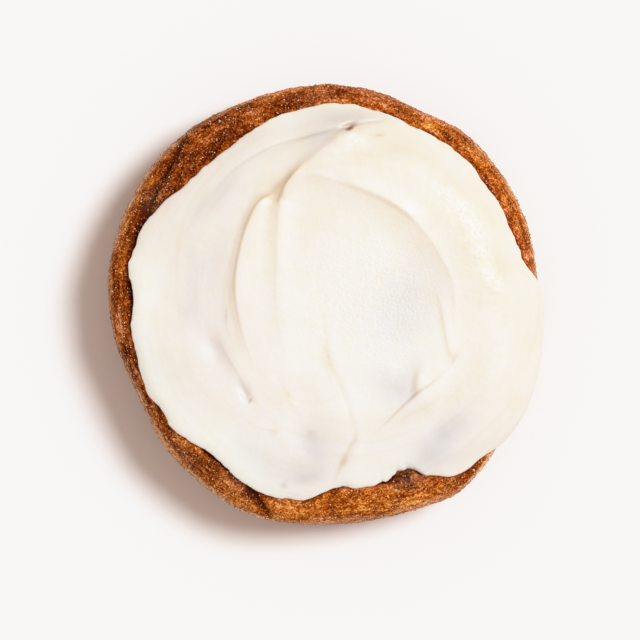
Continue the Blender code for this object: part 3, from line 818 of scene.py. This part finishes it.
def wound_sphere(name, segments, rings, place):
    """A closed skin of rings from the top pole down, each point where place(angle, share) says."""
    angle = np.linspace(-math.pi, math.pi, segments, endpoint=False)
    angle = np.concatenate([[0], np.tile(angle, rings - 1), [0]])
    share = np.concatenate([[0], np.repeat(np.arange(1, rings) / rings, segments), [1]])
    points = np.stack(place(angle, share), axis=1) - np.array(MIDDLE)
    ring = np.arange(segments)
    after = np.roll(ring, -1)
    bottom = (rings - 1) * segments + 1
    faces = [np.stack([np.zeros_like(ring), 1 + ring, 1 + after], axis=1).tolist()]
    for low in range(1, bottom - segments, segments):
        below = low + segments
        faces.append(np.stack([low + ring, below + ring, below + after, low + after], axis=1).tolist())
    last = bottom - segments
    faces.append(np.stack([last + ring, np.full_like(ring, bottom), last + after], axis=1).tolist())
    mesh = bpy.data.meshes.new(name)
    mesh.from_pydata(points.tolist(), [], sum(faces, []))
    mesh.shade_smooth()
    return linked(name, mesh)


def hashed(x, y, z, seed):
    """A fixed number from 0 to 1 for each whole-numbered place, stirred by large odd numbers."""
    most = 0xFFFFFFFF
    mixed = (x * 374761393 + y * 668265263 + z * 2147483647 + seed * 1274126177) & most
    mixed = ((mixed ^ (mixed >> 13)) * 1103515245) & most
    mixed = ((mixed ^ (mixed >> 16)) * 668265263) & most
    return (mixed ^ (mixed >> 15)) / most


def lumps(points, size, seed):
    """Smooth noise from -1 to 1 at each point, with lumps of about that size."""
    scaled = points / size
    low = np.floor(scaled).astype(np.int64)
    part = ease(scaled - low)
    total = np.zeros(len(points))
    for corner in range(8):
        step = np.array([corner & 1, corner >> 1 & 1, corner >> 2])
        weight = np.prod(np.where(step, part, 1 - part), axis=1)
        total += weight * hashed(*(low + step).T, seed)
    return 2 * total - 1


def speckle(points, rough):
    """Unevenness at each point: lumps with smaller ones on them."""
    layers = (
        lumps(points, rough.size / 2**n, rough.seed + n) * OCTAVE_SHARE**n for n in range(OCTAVES)
    )
    return rough.height * sum(layers)


def circle(angle, radius):
    return radius * np.stack([np.cos(angle), np.sin(angle), np.zeros(angle.shape)], axis=1)


def wound_places(angle, at):
    """Places in which lengths round the bun count for less, so that noise there is streaky."""
    long_way = BUN_RADIUS / STREAK_STRETCH
    return np.stack([long_way * np.cos(angle), long_way * np.sin(angle), at], axis=1)


def unfilled(x, y, at):
    """How open the groove is at each place, from 0 to 1."""
    return 1 - patches_on(FILLED, x, y, at < WIDEST_AT)


def crack(x, y, at, width):
    """How far down in the crack each place is, from 0 to 1, if the crack is that wide."""
    off, strength = beside(np.array(CRACK) * MM, x, y, CRACK_FADE, CRACK_FADE)
    return bell(off / width) * strength * (at < WIDEST_AT)


def crust_lift(angle, at):
    """How far the baked crust stands above the plain meridian."""
    swelling = swell(angle, at)
    x, y, z = on_crust(angle, at, swelling)
    points = np.stack([x, y, z], axis=1)
    rough = speckle(points, CRAGS) + speckle(points, DIMPLES)
    rough = rough + speckle(wound_places(angle, at), STREAKS)
    bread = patches_on(TORN, x, y, at < WIDEST_AT)
    rough = rough + bread * (TORN_HEIGHT + speckle(points, TORN_CRAGS))
    rough = rough - CRACK_DEPTH * crack(x, y, at, CRACK_WIDTH)
    return swelling - groove(angle, at) * unfilled(x, y, at) + rough * ease((BASE_AT - at) / BASE_FADE)


def crust_marks(angle, at):
    """What colours the crust, including painted shade, each from about 0 to 1, and its places for
    streaky noise.
    """
    x, y, _ = on_crust(angle, at, 0)
    upper = at < WIDEST_AT
    # painted shade in the groove and the crack
    painted_groove_shade = np.maximum(groove(angle, at) / GROOVE_DEPTH, crack(x, y, at, CRACK_SHADE_WIDTH))
    outside = groove_inset(angle, 0) - crust_inset(angle, at)
    crest = CREST_GOLD * bell((outside - CREST_OUT) / CREST_WIDTH) * upper
    # paler side dough; its lobes at 156 and 246 degrees are painted light on the shaded side
    side = below(at, SIDE_RISE, SIDE_FADE) * (1 + along_edge(angle, PALER_SIDES_AND_PAINTED_LIGHT))
    side = side * (1 - FOOT_BROWNING * below(at, FOOT_RISE, FOOT_FADE))
    plied = below(at, PLIES_RISE, PLIES_FADE) * along_edge(angle, PLIED_SIDES)
    return {
        "painted_groove_shade": painted_groove_shade**GROOVE_SHADE_POWER * unfilled(x, y, at),
        # painted shade on the crust beside the icing's edge
        "near": bell((at - icing_edge(angle, edge_wander(angle))) / ICING_SHADE_REACH),
        "dull": patches_on(DULLS, x, y, upper),
        # darker patches, partly painted shade
        "dark": patches_on(DARKS_AND_SHADE, x, y, upper),
        "gold": np.clip(patches_shape(GOLDS, x, y) * upper + crest, 0, 1),
        "side": side,
        "plied": np.maximum(plied, LEAST_PLIES * side),
        "wound": wound_places(angle, at),
    }


def add_marks(piece, marks):
    for name, values in marks.items():
        vector = values.ndim > 1
        mark = piece.data.attributes.new(name, "FLOAT_VECTOR" if vector else "FLOAT", "POINT")
        mark.data.foreach_set("vector" if vector else "value", values.astype(np.float32).ravel())


def make_bun():
    shares = (0, RIM_FROM, RIM_TO, 1)
    stops = (0, WIDEST_AT - RIM_WIDTH, BASE_AT, END_AT)
    marks = {}

    def place(angle, share):
        at = np.interp(share, shares, stops)
        marks.update(crust_marks(angle, at))
        return on_crust(angle, at, crust_lift(angle, at))

    bun = wound_sphere("bun_crust", BUN_SEGMENTS, BUN_RINGS, place)
    add_marks(bun, marks)
    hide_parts("bun")
    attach(bun, "root")
    return bun


def photographed(x, y, z):
    """Where the photograph shows a point: the higher it is, the further from the middle."""
    nearer = 1 + (z - AIM.z) / VIEW_DISTANCE
    return x * nearer, y * nearer


def icing_marks(angle, x, y, stain, inside):
    """What colours the icing, including painted light and shade. The painted crease shade is that of its
    creases, and inside is how far in the place is.
    """
    from_bowl = np.hypot(x - BOWL_X, y - BOWL_Y)
    painted_edge_light = bell(np.clip(inside - EDGE_LIGHT_WIDTH, 0, None) / EDGE_LIGHT_FADE)
    return {
        # yellower icing, and painted shade in creases and under the bowl's rim
        "yellow_and_painted_shade": np.clip(stain + patches_shape(YELLOWS_AND_PAINTED_SHADE, x, y), 0, MOST_YELLOW_AND_SHADE),
        "grey": patches_on(GREYS, x, y),
        "bare": patches_on(SPOTS, x, y),
        "cold": patches_on(COOLS, x, y),
        # painted cool shade, on the side away from the sun
        "painted_cool_shade": ease(0.5 - (x * SHADE_SIDE_X + y * SHADE_SIDE_Y) / SHADE_SIDE_WIDTH),
        # painted light along the icing's edge
        "painted_edge_light": along_edge(angle, PAINTED_EDGE_LIGHT) * painted_edge_light,
        "outer": ease((from_bowl - OUTER_FROM) / OUTER_FADE),
        "pitted": bell(from_bowl / PITTED_REACH),
        "round": from_bowl,
    }


def make_icing():
    """A layer that follows the crust, with its strokes on top, a rounded edge and a plain back."""
    under, lip = UNDERSIDE_SHARE, LIP_SHARE
    top = 1 - under - lip
    marks = {}

    def place(angle, share):
        smooth_edge = icing_edge(angle, lobes=BROAD_LOBES)
        edge = icing_edge(angle, edge_wander(angle))
        inner = share / top * (edge - LIP_WIDTH)
        round_edge = edge - LIP_WIDTH * (1 - np.sin((share - top) / lip * math.pi / 2))
        back = edge * (1 - share) / under
        at = np.where(share <= top, inner, np.where(share <= top + lip, round_edge, back))
        x, y = photographed(*on_crust(angle, at, GAP + ICING_THICKNESS))
        thick, stain = icing_shape(x, y)
        marks.update(icing_marks(angle, x, y, stain, smooth_edge - at))
        thick = thick * (1 - EDGE_THINNING * bell(np.maximum(smooth_edge - at, 0) / EDGE_SPREAD))
        torn = along_edge(angle, TORN_EDGES) * bell((edge - at) / TORN_REACH)
        inward = np.clip((edge - at) / LIP_WIDTH, 0, 1)
        full = (1 - (1 - inward) ** LIP_POWER) ** (1 / LIP_POWER)
        thick = np.where(share < top + lip, thick * (1 - TORN_THINNING * torn) * full, 0)
        gap = GAP - EDGE_SINK * bell((edge - at) / SINK_WIDTH)
        return on_crust(angle, at, swell(angle, at) + gap + thick)

    icing = wound_sphere("icing_spread", ICING_SEGMENTS, ICING_RINGS, place)
    add_marks(icing, marks)
    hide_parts("icing")
    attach(icing, "root")
    return icing


def grain_places(rng, count):
    """Random places on the bare crust, as angles and lengths along the meridian."""
    tries = GRAIN_TRIES * count
    angle = rng.uniform(-math.pi, math.pi, tries)
    at = rng.uniform(WIDEST_AT - RIM_WIDTH, BASE_AT - 1 * MM, tries)
    clear = rng.uniform(*GRAIN_CLEAR, tries) * MM
    bare = at > icing_edge(angle, edge_wander(angle)) + clear
    bare &= patches_shape(TORN, *on_crust(angle, at, 0)[:2]) < GRAIN_TORN
    stuck = rng.uniform(0, 1, tries) < np.where(at > WIDEST_AT - SPARSE_RISE, SPARSE_SHARE, 1)
    keep = np.flatnonzero(bare & stuck)[:count]
    return angle[keep], at[keep]


def scattered(name, kind):
    """Loose angular grains, each an irregular octahedron, spread over the bare crust."""
    rng = np.random.default_rng(kind.seed)
    angle, at = grain_places(rng, kind.count)
    amount = len(angle)
    lift = crust_lift(angle, at)
    foot = np.stack(on_crust(angle, at, lift), axis=1)
    up = unit(np.stack(on_crust(angle, at, lift + 1 * MM), axis=1) - foot)
    half = rng.uniform(*kind.size, amount)[:, None] * 0.5 * MM
    tip = unit(rng.normal(size=(amount, 3)) + GRAIN_UPRIGHT * up)
    side = unit(np.cross(tip, rng.normal(size=(amount, 3))))
    other = np.cross(tip, side)
    middle = foot + up * half * GRAIN_LIFT
    arms = [tip, side, other, -side, -other, -tip]
    corners = [middle + arm * half * rng.uniform(*GRAIN_UNEVEN, (amount, 1)) for arm in arms]
    corners = np.stack(corners, axis=1).reshape(-1, 3) - np.array(MIDDLE)
    first = len(arms) * np.arange(amount)[:, None, None]
    faces = (np.array(GRAIN_FACES)[None] + first).reshape(-1, 3)
    mesh = bpy.data.meshes.new(name)
    mesh.from_pydata(corners.tolist(), [], faces.tolist())
    grains = linked(name, mesh)
    add_marks(grains, {"grain": np.repeat(rng.uniform(0, 1, amount), len(arms))})
    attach(grains, "root")
    return grains


class Shader:
    """A Principled material that is built up node by node."""

    def __init__(self, name, **values):
        self.material = bpy.data.materials.new(name)
        self.material.use_nodes = True
        self.nodes = self.material.node_tree.nodes
        self.links = self.material.node_tree.links
        self.main = self.nodes["Principled BSDF"]
        for socket, value in values.items():
            self.main.inputs[socket.replace("_", " ")].default_value = value

    def add(self, kind, inputs=(), **settings):
        node = self.nodes.new("ShaderNode" + kind)
        for name, value in settings.items():
            setattr(node, name, value)
        for socket, value in dict(inputs).items():
            self.put(node.inputs[socket], value)
        return node

    def put(self, socket, value):
        if isinstance(value, bpy.types.NodeSocket):
            self.links.new(value, socket)
        else:
            socket.default_value = value

    def place(self):
        return self.add("TexCoord").outputs["Object"]

    def mark(self, name):
        return self.add("Attribute", attribute_name=name).outputs["Fac"]

    def marked_place(self, name):
        return self.add("Attribute", attribute_name=name).outputs["Vector"]

    def number(self, operation, *values):
        return self.add("Math", dict(enumerate(values)), operation=operation).outputs["Value"]

    def vector(self, operation, *values):
        inputs = dict(enumerate(values))
        return self.add("VectorMath", inputs, operation=operation).outputs["Vector"]

    def noise(self, pattern, place=None):
        inputs = {
            "Vector": place or self.place(),
            "Scale": 1 / pattern.size,
            "Detail": pattern.detail,
            "Roughness": pattern.rough,
        }
        return self.add("TexNoise", inputs).outputs["Fac"]

    def step(self, value, low, high, to=(0.0, 1.0)):
        """The value's place between low and high, eased, as a number between the two of to."""
        inputs = {"Value": value, "From Min": low, "From Max": high, "To Min": to[0], "To Max": to[1]}
        return self.add("MapRange", inputs, interpolation_type="SMOOTHSTEP").outputs["Result"]

    def ramp(self, value, tones):
        """A colour for each value, from (value, colour) pairs."""
        node = self.add("ValToRGB", {"Fac": value})
        points = node.color_ramp.elements
        for place, _ in tones[2:]:
            points.new(place)
        for point, (place, colour) in zip(points, tones):
            point.position, point.color = place, colour
        return node.outputs["Color"]

    def mix(self, share, first, second, blend="MIX"):
        node = self.add("Mix", data_type="RGBA", blend_type=blend, clamp_factor=True)
        self.put(node.inputs["Factor"], share)
        first_colour, second_colour, mixed_colour = node.inputs[6], node.inputs[7], node.outputs[2]
        self.put(first_colour, first)
        self.put(second_colour, second)
        return mixed_colour

    def bumps(self, *layers):
        """Lays each (height, strength, distance) over the last and puts them on the surface."""
        normal = None
        for height, strength, distance in layers:
            inputs = {"Height": height, "Strength": strength, "Distance": distance}
            if normal:
                inputs["Normal"] = normal
            normal = self.add("Bump", inputs).outputs["Normal"]
        self.put(self.main.inputs["Normal"], normal)

    def paint(self, colour):
        self.put(self.main.inputs["Base Color"], colour)


def crust_material():
    shader = Shader("crust", Specular_IOR_Level=CRUST_SHINE)
    round_place = shader.marked_place("wound")
    streak = shader.noise(CRUST_STREAKS, round_place)
    specks = shader.noise(CRUST_SPECKS)
    crumbs = shader.noise(CRUST_CRUMBS)
    plies = shader.noise(CRUST_PLIES, shader.vector("MULTIPLY", round_place, PLY_STRETCH))
    plied = shader.number("MULTIPLY", shader.number("SUBTRACT", plies, 0.5), shader.mark("plied"))
    layers = (
        (shader.noise(CRUST_CLOUDS), CLOUD_BAKE),
        (specks, SPECK_BAKE),
        (streak, STREAK_BAKE),
        (crumbs, CRUMB_BAKE),
        (plied, PLY_BAKE),
        # darker patches, partly painted shade
        (shader.mark("dark"), DARK_AND_SHADE_BAKE),
        (shader.mark("gold"), GOLD_BAKE),
        # painted shade beside the icing's edge
        (shader.mark("near"), ICING_SHADE_BAKE),
        # painted shade in the groove and the crack
        (shader.mark("painted_groove_shade"), GROOVE_SHADE_BAKE),
    )
    bake = CRUST_BAKE
    for layer, share in layers:
        bake = shader.number("MULTIPLY_ADD", layer, share, bake)
    patchy = shader.noise(CRUST_GOLD, round_place)
    golden = shader.number("MULTIPLY_ADD", shader.mark("gold"), GOLD_TINT, patchy)
    tint = shader.mix(shader.step(golden, *GOLDEN_RANGE), CRUST_RED, CRUST_GOLDEN)
    tone = shader.mix(1.0, shader.ramp(bake, CRUST_TONES), tint, "MULTIPLY")
    for mark, share, tones in (("dull", DULL_SHARE, DULL_TONES), ("side", SIDE_SHARE, SIDE_TONES)):
        cover = shader.number("MULTIPLY", shader.mark(mark), share)
        tone = shader.mix(cover, tone, shader.ramp(bake, tones))
    shader.paint(tone)
    roughness = shader.step(crumbs, *CRUMB_RANGE, CRUST_ROUGHNESS)
    shader.put(shader.main.inputs["Roughness"], roughness)
    shader.bumps((streak, *STREAK_DENTS), (specks, *SPECK_DENTS), (crumbs, *CRUMB_DENTS))
    return shader.material


def grain_material(name, kind):
    shine = GRAIN_SHINE * (1 - kind.roughness)
    shader = Shader(name, Roughness=kind.roughness, Specular_IOR_Level=shine)
    shader.paint(shader.ramp(shader.mark("grain"), kind.tones))
    shader.bumps((shader.noise(GRAIN_PITS), *GRAIN_DENTS))
    return shader.material


def icing_material():
    shader = Shader(
        "icing",
        Specular_IOR_Level=0.45,
        Subsurface_Weight=0.35,
        Subsurface_Radius=(1.0, 0.75, 0.45),
        Subsurface_Scale=2.5 * MM,
    )
    cream = shader.step(shader.noise(ICING_CLOUDS), *CREAM_RANGE)
    tone = shader.mix(cream, ICING_WHITE, ICING_CREAM)
    for mark, tint in ICING_TINTS.items():
        tone = shader.mix(shader.mark(mark), tone, tint, "MULTIPLY")
    tone = shader.mix(shader.mark("bare"), tone, ICING_BARE)
    rings = shader.add("CombineXYZ", {"X": shader.mark("round")}).outputs["Vector"]
    drift = shader.vector("MULTIPLY", shader.place(), ICING_DRIFT)
    streaks = shader.noise(ICING_STREAKS, shader.vector("ADD", rings, drift))
    streaked = shader.number("MULTIPLY", shader.step(streaks, *STREAK_RANGE), shader.mark("outer"))
    shader.paint(shader.mix(streaked, tone, ICING_STREAK, "MULTIPLY"))
    pits = shader.noise(ICING_PITS)
    shader.put(shader.main.inputs["Roughness"], shader.step(pits, *PIT_RANGE, ICING_ROUGHNESS))
    streak_strength = shader.number("MULTIPLY", shader.mark("outer"), ICING_STREAK_STRENGTH)
    shader.bumps(
        (shader.noise(ICING_RIPPLES), *RIPPLE_DENTS),
        (streaks, streak_strength, ICING_STREAK_DEPTH),
        (pits, shader.mark("pitted"), PIT_DEPTH),
    )
    return shader.material


def make_floor():
    bpy.ops.mesh.primitive_plane_add(size=FLOOR_SIZE)
    floor = bpy.context.object
    floor.name = "floor"
    material = Shader("floor", Base_Color=FLOOR_COLOUR, Roughness=0.9).material
    floor.data.materials.append(material)


def make_light():
    sun = linked("sun", bpy.data.lights.new("sun", "SUN"))
    across, up = math.cos(SUN_HEIGHT), math.sin(SUN_HEIGHT)
    towards = Vector((across * math.cos(SUN_ANGLE), across * math.sin(SUN_ANGLE), up))
    sun.rotation_euler = towards.to_track_quat("Z", "Y").to_euler()
    sun.data.energy = SUN_STRENGTH
    sun.data.color = SUN_COLOUR
    sun.data.angle = SUN_SPREAD
    world = bpy.data.worlds.new("studio")
    bpy.context.scene.world = world
    world.use_nodes = True
    sky = world.node_tree.nodes["Background"]
    sky.inputs["Color"].default_value = SKY_COLOUR
    sky.inputs["Strength"].default_value = SKY_STRENGTH


def make_camera():
    camera = linked("camera", bpy.data.cameras.new("camera"))
    camera.data.sensor_width = SENSOR
    camera.data.lens = SENSOR * VIEW_DISTANCE / VIEW_WIDTH
    camera.location = AIM + Vector((0, 0, VIEW_DISTANCE))
    bpy.context.scene.camera = camera


def set_tones():
    view = bpy.context.scene.view_settings
    view.view_transform = "Standard"
    view.use_curve_mapping = True
    mapping = view.curve_mapping
    mapping.clip_max_x, mapping.clip_max_y = TONES[-1]
    curve = mapping.curves[ALL_COLOURS]
    for light_in, light_out in TONES[1:-1]:
        curve.points.new(light_in, light_out)
    curve.points[-1].location = TONES[-1]
    mapping.update()


def main():
    set_tones()
    make_camera()
    make_light()
    make_floor()
    make_bun().data.materials.append(crust_material())
    make_icing().data.materials.append(icing_material())
    for name, kind in GRAINS.items():
        scattered(name, kind).data.materials.append(grain_material(name, kind))


main()
